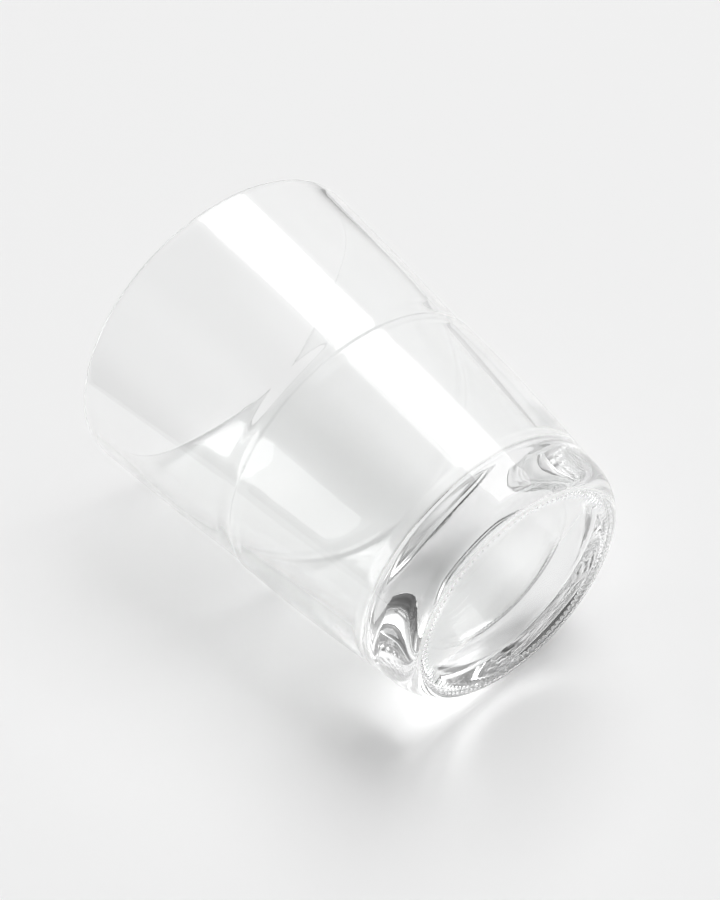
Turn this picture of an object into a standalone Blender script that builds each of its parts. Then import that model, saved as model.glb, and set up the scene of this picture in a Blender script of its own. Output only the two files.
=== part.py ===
"""Heavy-base stacking tumbler in clear glass: one turned body of revolution.

The glass stands upright on its base. The origin is the centre of the resting plane, +Z is the
axis of symmetry, and lengths are in metres.
"""

import math

import bpy

# Each station of a wall is its height, its radius and how fast that radius grows with height.

# Outside: rim, upper wall, stacking groove and shoulder, lower wall, heel
HEIGHT = 0.1025
RIM_RADIUS = 0.0402
RIM_THICKNESS = 0.0019
RIM_SLOPE = 0.065
NECK = (0.0585, 0.03675, 0.100)
WAIST = (0.0545, 0.03620, 0.0)
SHOULDER = (0.0531, 0.03675, 0.0)
LOWER_WALL_TOP = (0.0500, 0.03650, 0.045)
HEEL = (0.0090, 0.03232, 0.135)

# Underside: flat resting ring around a shallow push-up
RING_OUTER_RADIUS = 0.0276
RING_INNER_RADIUS = 0.0262
PUSH_UP_CENTRE_Z = 0.0018

# Cavity: upper bore, inner ledge, lower bore, rounded corner, dished floor
BORE_RIM_SLOPE = 0.070
BORE_MIDDLE = (0.0785, 0.03650, 0.110)
BORE_LEDGE_TOP = (0.0545, 0.03330, 0.120)
BORE_LEDGE_BOTTOM = (0.0515, 0.03280, 0.080)
BORE_FLOOR_CURVE = (0.0170, 0.03030, 0.060)
BOWL_RADIUS = 0.0267
BOWL_Z = 0.0137
BOWL_SAG = -0.0002
FLOOR_FLAT_RADIUS = 0.0130
FLOOR_EDGE_Z = 0.0118
FLOOR_CENTRE_Z = 0.0116

SEGMENTS = 80
MERGE_DISTANCE = 0.00001


def clear_scene():
    """Remove whatever the open file holds."""
    for obj in list(bpy.data.objects):
        bpy.data.objects.remove(obj, do_unlink=True)


def clear_glass():
    """Colourless glass."""
    material = bpy.data.materials.new("clear_glass")
    material.use_nodes = True
    shader = material.node_tree.nodes["Principled BSDF"]
    shader.inputs["Base Color"].default_value = (0.98, 0.99, 0.985, 1.0)
    shader.inputs["Metallic"].default_value = 0.0
    shader.inputs["Roughness"].default_value = 0.02
    shader.inputs["IOR"].default_value = 1.52
    shader.inputs["Transmission Weight"].default_value = 1.0
    return material


def bowed(start, end, bulge, steps):
    """Points after start up to end, on a chord bowed to its left by bulge at the middle."""
    (r0, z0), (r1, z1) = start, end
    length = math.hypot(r1 - r0, z1 - z0)
    left_r, left_z = -(z1 - z0) / length, (r1 - r0) / length
    points = []
    for step in range(1, steps + 1):
        t = step / steps
        offset = bulge * 4.0 * t * (1.0 - t)
        points.append((r0 + (r1 - r0) * t + left_r * offset, z0 + (z1 - z0) * t + left_z * offset))
    return points


def quarter(start, end, steps, first="radial"):
    """Points after start up to end on a quarter ellipse that sets off radially or axially."""
    (r0, z0), (r1, z1) = start, end
    points = []
    for step in range(1, steps + 1):
        angle = 0.5 * math.pi * step / steps
        lead, lag = math.sin(angle), 1.0 - math.cos(angle)
        if first == "radial":
            points.append((r0 + (r1 - r0) * lead, z0 + (z1 - z0) * lag))
        else:
            points.append((r0 + (r1 - r0) * lag, z0 + (z1 - z0) * lead))
    return points


def wall(top, bottom, steps):
    """Points after top down to bottom on a smooth wall between two stations."""
    (z0, r0, slope0), (z1, r1, slope1) = top, bottom
    drop = z1 - z0
    points = []
    for step in range(1, steps + 1):
        t = step / steps
        start = 2.0 * t**3 - 3.0 * t**2 + 1.0
        leave = (t**3 - 2.0 * t**2 + t) * drop * slope0
        arrive = (t**3 - t**2) * drop * slope1
        points.append((start * r0 + leave + (1.0 - start) * r1 + arrive, z0 + drop * t))
    return points


def cavity_profile():
    """From the middle of the cavity floor out and up to the inside of the rim."""
    rim_inside = (HEIGHT - RIM_THICKNESS / 2, RIM_RADIUS - RIM_THICKNESS, BORE_RIM_SLOPE)
    points = [(0.0, FLOOR_CENTRE_Z)]
    points += bowed(points[-1], (FLOOR_FLAT_RADIUS, FLOOR_EDGE_Z), 0.0, 2)
    points += bowed(points[-1], (BOWL_RADIUS, BOWL_Z), BOWL_SAG, 3)
    points += quarter(points[-1], (BORE_FLOOR_CURVE[1], BORE_FLOOR_CURVE[0]), 6)
    points += wall(BORE_FLOOR_CURVE, BORE_LEDGE_BOTTOM, 4)
    points += wall(BORE_LEDGE_BOTTOM, BORE_LEDGE_TOP, 2)
    points += wall(BORE_LEDGE_TOP, BORE_MIDDLE, 3)
    points += wall(BORE_MIDDLE, rim_inside, 3)
    return points


def rim_profile():
    """Half round over the fire-polished rim, from the bore to the outside."""
    half = RIM_THICKNESS / 2
    middle = RIM_RADIUS - half
    points = []
    for step in range(1, 7):
        angle = math.pi * (1.0 - step / 6)
        points.append((middle + half * math.cos(angle), HEIGHT - half + half * math.sin(angle)))
    return points


def outer_profile():
    """Down the outside from the rim, round the heel and in under the base to the axis."""
    rim_outside = (HEIGHT - RIM_THICKNESS / 2, RIM_RADIUS, RIM_SLOPE)
    points = wall(rim_outside, NECK, 4)
    points += wall(NECK, WAIST, 3)
    points += wall(WAIST, SHOULDER, 3)
    points += wall(SHOULDER, LOWER_WALL_TOP, 3)
    points += wall(LOWER_WALL_TOP, HEEL, 4)
    points += quarter(points[-1], (RING_OUTER_RADIUS, 0.0), 5, first="axial")
    points += [(RING_INNER_RADIUS, 0.0)]
    for step in range(1, 5):
        radius = RING_INNER_RADIUS * (1.0 - step / 4)
        points.append((radius, PUSH_UP_CENTRE_Z * (1.0 - (radius / RING_INNER_RADIUS) ** 2)))
    return points


def turned_body(name, profile, material):
    """Turn a profile, given as (radius, height) pairs, once about the Z axis."""
    mesh = bpy.data.meshes.new(name)
    vertices = [(radius, 0.0, height) for radius, height in profile]
    edges = [(i, i + 1) for i in range(len(profile) - 1)]
    mesh.from_pydata(vertices, edges, [])
    mesh.materials.append(material)
    body = bpy.data.objects.new(name, mesh)
    bpy.context.collection.objects.link(body)
    screw = body.modifiers.new("turn", "SCREW")
    screw.axis = "Z"
    screw.angle = 2.0 * math.pi
    screw.steps = SEGMENTS
    screw.render_steps = SEGMENTS
    screw.use_merge_vertices = True
    screw.merge_threshold = MERGE_DISTANCE
    screw.use_smooth_shade = True
    return body


def main():
    clear_scene()
    profile = cavity_profile() + rim_profile() + outer_profile()
    turned_body("glass_body", profile, clear_glass())


main()
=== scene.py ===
"""Looks of the clear glass tumbler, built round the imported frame. Lengths are in metres."""

import math

import bpy
from mathutils import Matrix, Vector


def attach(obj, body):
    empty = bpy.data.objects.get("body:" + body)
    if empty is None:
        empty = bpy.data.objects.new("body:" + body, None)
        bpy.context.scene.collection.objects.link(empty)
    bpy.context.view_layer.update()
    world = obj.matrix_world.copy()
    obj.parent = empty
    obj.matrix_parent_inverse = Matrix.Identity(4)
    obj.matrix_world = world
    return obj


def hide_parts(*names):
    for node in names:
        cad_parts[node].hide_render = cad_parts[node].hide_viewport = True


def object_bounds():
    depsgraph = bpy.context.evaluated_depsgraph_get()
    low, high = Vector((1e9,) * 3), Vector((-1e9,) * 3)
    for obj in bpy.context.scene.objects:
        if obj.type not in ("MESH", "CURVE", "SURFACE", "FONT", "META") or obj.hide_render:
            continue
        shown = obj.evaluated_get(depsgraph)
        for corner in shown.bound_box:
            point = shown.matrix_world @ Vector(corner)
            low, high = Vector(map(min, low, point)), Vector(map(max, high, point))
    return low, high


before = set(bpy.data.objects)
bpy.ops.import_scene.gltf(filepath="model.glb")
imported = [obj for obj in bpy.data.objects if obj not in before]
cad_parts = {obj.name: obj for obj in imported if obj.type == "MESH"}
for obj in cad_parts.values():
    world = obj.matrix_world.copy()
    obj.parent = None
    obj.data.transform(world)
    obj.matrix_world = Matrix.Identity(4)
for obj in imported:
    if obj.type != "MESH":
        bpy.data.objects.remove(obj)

CAD_LOW, CAD_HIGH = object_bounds()

# ---------------------------------------------------------------- sizes of the glass
# Each station of a wall is its height, its radius and how fast that radius grows with height.
HEIGHT = CAD_HIGH.z
RIM_RADIUS = CAD_HIGH.x
RIM_THICKNESS = 0.0019
RIM_SLOPE = 0.065
NECK = (0.0585, 0.03675, 0.100)
WAIST = (0.0545, 0.03620, 0.0)
SHOULDER = (0.0531, 0.03675, 0.0)
LOWER_WALL_TOP = (0.0500, 0.03650, 0.045)
HEEL = (0.0090, 0.03232, 0.135)
RING_OUTER_RADIUS, RING_INNER_RADIUS = 0.0276, 0.0262
PUSH_UP_CENTRE_Z = 0.0018

BORE_RIM_SLOPE = 0.070
BORE_MIDDLE = (0.0785, 0.03650, 0.110)
BORE_LEDGE_TOP = (0.0545, 0.03330, 0.120)
BORE_LEDGE_BOTTOM = (0.0515, 0.03280, 0.080)
BORE_FLOOR_CURVE = (0.0170, 0.03030, 0.060)
BOWL_RADIUS, BOWL_Z = 0.0267, 0.0137
BOWL_SAG = -0.0002
FLOOR_FLAT_RADIUS = 0.0130
FLOOR_EDGE_Z, FLOOR_CENTRE_Z = 0.0118, 0.0116

NOTCHES = 110
NOTCH_DEPTH = 0.00025
NOTCH_MARGIN = 0.0002
SEGMENTS = 4 * NOTCHES

# ---------------------------------------------------------------- surface of the glass
IOR = 1.52
# Each noise is its stretch along X, Y and Z, its scale and its detail.
WAVE_HEIGHT, WAVE_NOISE = 0.000010, ((1.0, 1.0, 0.6), 70.0, 1.0)
RIPPLE_HEIGHT, RIPPLE_NOISE = 0.000003, ((1.0, 1.0, 12.0), 60.0, 2.0)
FILM_ROUGHNESS, FILM_NOISE = 0.03, ((1.0, 1.0, 1.0), 45.0, 6.0)
FILM_RANGE = (0.52, 0.80)
TINT_NOISE = ((1.0, 1.0, 2.0), 25.0, 2.0)
TINT_LOW, TINT_HIGH = (0.996, 0.998, 0.996, 1.0), (0.984, 0.989, 0.987, 1.0)

# ---------------------------------------------------------------- where the lying glass is seen from
CONTACT_AZIMUTH = math.radians(45.0)
CAMERA_AIM_Z = 0.0528
CAMERA_DISTANCE = 0.672
CAMERA_ELEVATION = math.radians(43.7)
CAMERA_SWING = math.radians(40.3)
FLOOR_WIDTH, FLOOR_DEPTH = 1.04, 0.38
FLOOR_RIGHT, FLOOR_AHEAD = 0.410, -0.028
FLOOR_COLOUR, FLOOR_ROUGHNESS, FLOOR_SPECULAR = (0.86, 0.86, 0.86, 1.0), 0.9, 0.1
LENS = 120.0
SENSOR = 36.0
CLIP_START, CLIP_END = 0.01, 50.0

# ---------------------------------------------------------------- light, as seen from the lying glass
BOUNCES, CLEAR_BOUNCES = 128, 16
BACKGROUND_LIGHT = 0.871
HORIZON_LIGHT, HORIZON_COSINE = 0.03, 0.25
CEILING_LIGHT, CEILING_COSINE = 0.33, 0.80
KEY_DISTANCE, KEY_WIDTH, KEY_HEIGHT, KEY_POWER = 5.0, 2.9, 5.0, 90.0
# Directions are given as shares of the lying floor's normal, of its side and of the way to the rim.
KEY_DIRECTION = (0.890, -0.410, 0.130)
WINDOW_LIGHT = 0.95
WINDOW_HALF = (0.335, 0.60)
WINDOW_FEATHER = 0.16
# A lobe is its direction, the cosine where it ends, the one from which it is full, and its strength.
LOBES = (
    ((0.97, -0.15, -0.20), 0.78, 0.98, 0.90),
    ((0.25, 0.93, 0.15), 0.76, 0.97, 0.50),
    ((0.25, -0.93, 0.25), 0.72, 0.97, 0.90),
)
# World axes round which the background also shows through the glass, and the cosines of its edge
THROUGH_AXES = (Vector((0.0, 0.0, -1.0)), Vector((0.0, 1.0, 0.0)))
THROUGH_EDGE, THROUGH_FULL = -0.40, -0.15


def bowed(start, end, bulge, steps):
    """Points after start up to end, on a chord bowed to its left by bulge at the middle."""
    (r0, z0), (r1, z1) = start, end
    length = math.hypot(r1 - r0, z1 - z0)
    left_r, left_z = -(z1 - z0) / length, (r1 - r0) / length
    points = []
    for step in range(1, steps + 1):
        t = step / steps
        offset = bulge * 4.0 * t * (1.0 - t)
        points.append((r0 + (r1 - r0) * t + left_r * offset, z0 + (z1 - z0) * t + left_z * offset))
    return points


def quarter(start, end, steps, first="radial"):
    """Points after start up to end on a quarter ellipse that sets off radially or axially."""
    (r0, z0), (r1, z1) = start, end
    points = []
    for step in range(1, steps + 1):
        angle = 0.5 * math.pi * step / steps
        lead, lag = math.sin(angle), 1.0 - math.cos(angle)
        if first == "radial":
            points.append((r0 + (r1 - r0) * lead, z0 + (z1 - z0) * lag))
        else:
            points.append((r0 + (r1 - r0) * lag, z0 + (z1 - z0) * lead))
    return points


def wall(top, bottom, steps):
    """Points after top down to bottom on a smooth wall between two stations."""
    (z0, r0, slope0), (z1, r1, slope1) = top, bottom
    drop = z1 - z0
    points = []
    for step in range(1, steps + 1):
        t = step / steps
        start = 2.0 * t**3 - 3.0 * t**2 + 1.0
        leave = (t**3 - 2.0 * t**2 + t) * drop * slope0
        arrive = (t**3 - t**2) * drop * slope1
        points.append((start * r0 + leave + (1.0 - start) * r1 + arrive, z0 + drop * t))
    return points


def glass_profile():
    """The whole section as (radius, height), from the cavity floor over the rim to the underside."""
    half = RIM_THICKNESS / 2
    middle = RIM_RADIUS - half
    rim_inside = (HEIGHT - half, RIM_RADIUS - RIM_THICKNESS, BORE_RIM_SLOPE)
    rim_outside = (HEIGHT - half, RIM_RADIUS, RIM_SLOPE)
    points = [(0.0, FLOOR_CENTRE_Z)]
    points += bowed(points[-1], (FLOOR_FLAT_RADIUS, FLOOR_EDGE_Z), 0.0, 6)
    points += bowed(points[-1], (BOWL_RADIUS, BOWL_Z), BOWL_SAG, 12)
    points += quarter(points[-1], (BORE_FLOOR_CURVE[1], BORE_FLOOR_CURVE[0]), 16)
    points += wall(BORE_FLOOR_CURVE, BORE_LEDGE_BOTTOM, 14)
    points += wall(BORE_LEDGE_BOTTOM, BORE_LEDGE_TOP, 8)
    points += wall(BORE_LEDGE_TOP, BORE_MIDDLE, 14)
    points += wall(BORE_MIDDLE, rim_inside, 14)
    for step in range(1, 15):
        angle = math.pi * (1.0 - step / 14)
        points.append((middle + half * math.cos(angle), HEIGHT - half + half * math.sin(angle)))
    points += wall(rim_outside, NECK, 20)
    points += wall(NECK, WAIST, 10)
    points += wall(WAIST, SHOULDER, 10)
    points += wall(SHOULDER, LOWER_WALL_TOP, 10)
    points += wall(LOWER_WALL_TOP, HEEL, 20)
    points += quarter(points[-1], (RING_OUTER_RADIUS, 0.0), 18, first="axial")
    points += [(RING_OUTER_RADIUS - NOTCH_MARGIN, 0.0), (RING_INNER_RADIUS + NOTCH_MARGIN, 0.0)]
    points += [(RING_INNER_RADIUS, 0.0)]
    for step in range(1, 15):
        radius = RING_INNER_RADIUS * (1.0 - step / 14)
        points.append((radius, PUSH_UP_CENTRE_Z * (1.0 - (radius / RING_INNER_RADIUS) ** 2)))
    return points


def lathe(name, profile):
    """A closed body of revolution with one vertex on the axis at each end of the profile."""
    rings = profile[1:-1]
    vertices = [(0.0, 0.0, profile[0][1])]
    for radius, height in rings:
        for segment in range(SEGMENTS):
            angle = 2.0 * math.pi * segment / SEGMENTS
            vertices.append((radius * math.cos(angle), radius * math.sin(angle), height))
    vertices.append((0.0, 0.0, profile[-1][1]))
    last = len(vertices) - 1
    faces = []
    for segment in range(SEGMENTS):
        beside = (segment + 1) % SEGMENTS
        faces.append((0, 1 + segment, 1 + beside))
        for ring in range(len(rings) - 1):
            low = 1 + ring * SEGMENTS
            high = low + SEGMENTS
            faces.append((low + segment, high + segment, high + beside, low + beside))
        low = 1 + (len(rings) - 1) * SEGMENTS
        faces.append((low + beside, low + segment, last))
    mesh = bpy.data.meshes.new(name)
    mesh.from_pydata(vertices, [], faces)
    mesh.shade_smooth()
    body = bpy.data.objects.new(name, mesh)
    bpy.context.scene.collection.objects.link(body)
    return body


def notch_ring(body):
    """Press a ring of small radial notches into the flat that the glass stands on."""
    inner, outer = RING_INNER_RADIUS + NOTCH_MARGIN / 2, RING_OUTER_RADIUS - NOTCH_MARGIN / 2
    for vertex in body.data.vertices:
        if vertex.co.z == 0.0 and inner < vertex.co.xy.length < outer:
            turn = (math.atan2(vertex.co.y, vertex.co.x) / (2.0 * math.pi) * NOTCHES) % 1.0
            vertex.co.z = NOTCH_DEPTH * (1.0 - abs(2.0 * turn - 1.0))


def principled(name):
    """A new material and its Principled shader."""
    material = bpy.data.materials.new(name)
    material.use_nodes = True
    return material, material.node_tree.nodes["Principled BSDF"]


def noise(nodes, links, position, pattern):
    """Noise over the object's own coordinates, from its stretch, scale and detail."""
    stretch, scale, detail = pattern
    squeeze = nodes.new("ShaderNodeMapping")
    squeeze.inputs["Scale"].default_value = stretch
    texture = nodes.new("ShaderNodeTexNoise")
    texture.inputs["Scale"].default_value = scale
    texture.inputs["Detail"].default_value = detail
    links.new(position, squeeze.inputs["Vector"])
    links.new(squeeze.outputs["Vector"], texture.inputs["Vector"])
    return texture.outputs["Fac"]


def clear_glass():
    """Clear soda-lime glass: slow moulding waves, fine level ripples and a faint film of handling."""
    material, shader = principled("clear_glass")
    nodes, links = material.node_tree.nodes, material.node_tree.links
    shader.inputs["IOR"].default_value = IOR
    shader.inputs["Transmission Weight"].default_value = 1.0
    position = nodes.new("ShaderNodeTexCoord").outputs["Object"]

    waves = nodes.new("ShaderNodeBump")
    waves.inputs["Strength"].default_value = 1.0
    waves.inputs["Distance"].default_value = WAVE_HEIGHT
    links.new(noise(nodes, links, position, WAVE_NOISE), waves.inputs["Height"])
    ripples = nodes.new("ShaderNodeBump")
    ripples.inputs["Strength"].default_value = 1.0
    ripples.inputs["Distance"].default_value = RIPPLE_HEIGHT
    links.new(noise(nodes, links, position, RIPPLE_NOISE), ripples.inputs["Height"])
    links.new(waves.outputs["Normal"], ripples.inputs["Normal"])
    links.new(ripples.outputs["Normal"], shader.inputs["Normal"])

    film = nodes.new("ShaderNodeMapRange")
    film.inputs["From Min"].default_value = FILM_RANGE[0]
    film.inputs["From Max"].default_value = FILM_RANGE[1]
    film.inputs["To Max"].default_value = FILM_ROUGHNESS
    links.new(noise(nodes, links, position, FILM_NOISE), film.inputs["Value"])
    links.new(film.outputs["Result"], shader.inputs["Roughness"])

    tint = nodes.new("ShaderNodeMix")
    tint.data_type = "RGBA"
    tint.inputs["A"].default_value = TINT_LOW
    tint.inputs["B"].default_value = TINT_HIGH
    links.new(noise(nodes, links, position, TINT_NOISE), tint.inputs["Factor"])
    links.new(tint.outputs["Result"], shader.inputs["Base Color"])
    return material


def one_sided(name):
    """Pale matt surface that is only there from its front, so it hides nothing from behind."""
    material, shader = principled(name)
    nodes, links = material.node_tree.nodes, material.node_tree.links
    shader.inputs["Base Color"].default_value = FLOOR_COLOUR
    shader.inputs["Roughness"].default_value = FLOOR_ROUGHNESS
    shader.inputs["Specular IOR Level"].default_value = FLOOR_SPECULAR
    geometry = nodes.new("ShaderNodeNewGeometry")
    clear = nodes.new("ShaderNodeBsdfTransparent")
    mix = nodes.new("ShaderNodeMixShader")
    links.new(geometry.outputs["Backfacing"], mix.inputs["Fac"])
    links.new(shader.outputs["BSDF"], mix.inputs[1])
    links.new(clear.outputs["BSDF"], mix.inputs[2])
    links.new(mix.outputs["Shader"], nodes["Material Output"].inputs["Surface"])
    return material


def panel(name, centre, across, ahead, material):
    """A stage panel round centre, across and ahead being its two half sides."""
    mesh = bpy.data.meshes.new(name)
    near, far = centre - ahead, centre + ahead
    corners = [near - across, near + across, far + across, far - across]
    mesh.from_pydata(corners, [], [(0, 1, 2, 3)])
    mesh.materials.append(material)
    stage = bpy.data.objects.new(name, mesh)
    bpy.context.scene.collection.objects.link(stage)


def lying_axes():
    """The floor that the glass would lie on: the point under its rim, its normal, its way to the rim.

    It runs from heel to rim on the CONTACT_AZIMUTH side, as low as the wall reaches between them.
    """
    outward = Vector((math.sin(CONTACT_AZIMUTH), -math.cos(CONTACT_AZIMUTH), 0.0))
    up = Vector((0.0, 0.0, 1.0))
    rim = outward * RIM_RADIUS + up * (HEIGHT - RIM_THICKNESS / 2)
    heel = outward * HEEL[1] + up * HEEL[0]
    along = (rim - heel).normalized()
    normal = (up * along.dot(outward) - outward * along.dot(up)).normalized()
    lowest = min((outward * radius + up * height for radius, height in glass_profile()), key=normal.dot)
    return rim + normal * (lowest - rim).dot(normal), normal, along


def look(direction, up):
    """Rotation of a camera or lamp that faces direction with up at the top."""
    back = -direction.normalized()
    right = up.cross(back).normalized()
    return Matrix((right, back.cross(right), back)).transposed()


def camera_axes(normal, along):
    """The level direction from the lying glass towards the camera, and the one to the camera's right."""
    side = normal.cross(along)
    level = -along * math.cos(CAMERA_SWING) + side * math.sin(CAMERA_SWING)
    return level, normal.cross(level)


def add_camera(normal, level):
    """The photographed view: above the lying glass, off to one side of its base."""
    away = level * math.cos(CAMERA_ELEVATION) + normal * math.sin(CAMERA_ELEVATION)
    aim = Vector((0.0, 0.0, CAMERA_AIM_Z))
    data = bpy.data.cameras.new("camera")
    data.lens = LENS
    data.sensor_width = SENSOR
    data.clip_start = CLIP_START
    data.clip_end = CLIP_END
    camera = bpy.data.objects.new("camera", data)
    camera.matrix_world = Matrix.Translation(aim + away * CAMERA_DISTANCE) @ look(-away, normal).to_4x4()
    bpy.context.scene.collection.objects.link(camera)
    bpy.context.scene.camera = camera


def softbox(name, centre, target, up, width, height, power):
    """A rectangular soft light that faces target."""
    data = bpy.data.lights.new(name, "AREA")
    data.shape = "RECTANGLE"
    data.size = width
    data.size_y = height
    data.energy = power
    lamp = bpy.data.objects.new(name, data)
    lamp.matrix_world = Matrix.Translation(centre) @ look(target - centre, up).to_4x4()
    bpy.context.scene.collection.objects.link(lamp)


def node_value(tree, operation, first, second):
    """The output of a math node on two sockets or numbers."""
    node = tree.nodes.new("ShaderNodeMath")
    node.operation = operation
    for socket, source in zip(node.inputs, (first, second)):
        if isinstance(source, bpy.types.NodeSocket):
            tree.links.new(source, socket)
        else:
            socket.default_value = source
    return node.outputs["Value"]


def glow(tree, direction, axis, edge, full, strength):
    """A smooth lobe of light round axis: strength inside the full cosine, none outside the edge."""
    dot = tree.nodes.new("ShaderNodeVectorMath")
    dot.operation = "DOT_PRODUCT"
    dot.inputs[1].default_value = axis.normalized()
    ramp = tree.nodes.new("ShaderNodeMapRange")
    ramp.interpolation_type = "SMOOTHSTEP"
    ramp.inputs["From Min"].default_value = edge
    ramp.inputs["From Max"].default_value = full
    ramp.inputs["To Max"].default_value = strength
    tree.links.new(direction, dot.inputs[0])
    tree.links.new(dot.outputs["Value"], ramp.inputs["Value"])
    return ramp.outputs["Result"]


def feathered_window(tree, direction, axis, across, upright, strength):
    """A rectangle of light with soft edges round axis, WINDOW_HALF wide and high as tangents."""
    shares = []
    for vector in (axis, across, upright):
        dot = tree.nodes.new("ShaderNodeVectorMath")
        dot.operation = "DOT_PRODUCT"
        dot.inputs[1].default_value = vector
        tree.links.new(direction, dot.inputs[0])
        shares.append(dot.outputs["Value"])
    light = node_value(tree, "MULTIPLY", node_value(tree, "GREATER_THAN", shares[0], 0.0), strength)
    for share, half in zip(shares[1:], WINDOW_HALF):
        tangent = node_value(tree, "ABSOLUTE", node_value(tree, "DIVIDE", share, shares[0]), 0.0)
        ramp = tree.nodes.new("ShaderNodeMapRange")
        ramp.interpolation_type = "SMOOTHSTEP"
        ramp.inputs["From Min"].default_value = half + WINDOW_FEATHER / 2
        ramp.inputs["From Max"].default_value = half - WINDOW_FEATHER / 2
        tree.links.new(tangent, ramp.inputs["Value"])
        light = node_value(tree, "MULTIPLY", light, ramp.outputs["Result"])
    return light


def surroundings(normal, side, along, towards_key):
    """Studio light over the lying glass, and a pale background where the camera sees past it.

    Light that has only passed through glass shows the background too, round THROUGH_AXES.
    """
    world = bpy.data.worlds.new("studio")
    bpy.context.scene.world = world
    world.use_nodes = True
    tree = world.node_tree
    direction = tree.nodes.new("ShaderNodeTexCoord").outputs["Generated"]
    light = glow(tree, direction, normal, HORIZON_COSINE, CEILING_COSINE, CEILING_LIGHT)
    for (upward, sideways, onward), edge, full, strength in LOBES:
        axis = normal * upward + side * sideways + along * onward
        light = node_value(tree, "ADD", light, glow(tree, direction, axis, edge, full, strength))
    across = along.cross(towards_key).normalized()
    upright = towards_key.cross(across)
    window = feathered_window(tree, direction, towards_key, across, upright, WINDOW_LIGHT)
    light = node_value(tree, "ADD", light, window)
    light = node_value(tree, "ADD", light, HORIZON_LIGHT)
    path = tree.nodes.new("ShaderNodeLightPath")
    straight = node_value(tree, "LESS_THAN", path.outputs["Glossy Depth"], 0.5)
    unscattered = node_value(tree, "LESS_THAN", path.outputs["Diffuse Depth"], 0.5)
    through = node_value(tree, "MULTIPLY", straight, unscattered)
    through = node_value(tree, "MULTIPLY", through, path.outputs["Is Transmission Ray"])
    for axis in THROUGH_AXES:
        share = glow(tree, direction, axis, THROUGH_EDGE, THROUGH_FULL, 1.0)
        through = node_value(tree, "MULTIPLY", through, share)
    seen = node_value(tree, "MAXIMUM", through, path.outputs["Is Camera Ray"])
    mix = tree.nodes.new("ShaderNodeMix")
    tree.links.new(seen, mix.inputs["Factor"])
    tree.links.new(light, mix.inputs["A"])
    mix.inputs["B"].default_value = BACKGROUND_LIGHT
    tree.links.new(mix.outputs["Result"], tree.nodes["Background"].inputs["Color"])


def main():
    scene = bpy.context.scene
    scene.view_settings.view_transform = "Standard"
    scene.cycles.max_bounces = BOUNCES
    scene.cycles.transmission_bounces = BOUNCES
    scene.cycles.glossy_bounces = BOUNCES
    scene.cycles.transparent_max_bounces = CLEAR_BOUNCES
    scene.cycles.blur_glossy = 0.0

    body = lathe("tumbler_glass", glass_profile())
    notch_ring(body)
    body.data.materials.append(clear_glass())
    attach(body, "root")
    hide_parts("glass_body")

    touch, normal, along = lying_axes()
    side = normal.cross(along)
    level, right = camera_axes(normal, along)
    add_camera(normal, level)
    middle = touch + right * FLOOR_RIGHT + level * FLOOR_AHEAD
    half_right, half_back = right * (FLOOR_WIDTH / 2), level * (-FLOOR_DEPTH / 2)
    panel("lying_floor", middle, half_right, half_back, one_sided("lying_floor"))
    centre = Vector((0.0, 0.0, HEIGHT / 2))
    upward, sideways, onward = KEY_DIRECTION
    towards_key = (normal * upward + side * sideways + along * onward).normalized()
    softbox("key", centre + towards_key * KEY_DISTANCE, centre, along, KEY_WIDTH, KEY_HEIGHT, KEY_POWER)
    surroundings(normal, side, along, towards_key)


main()
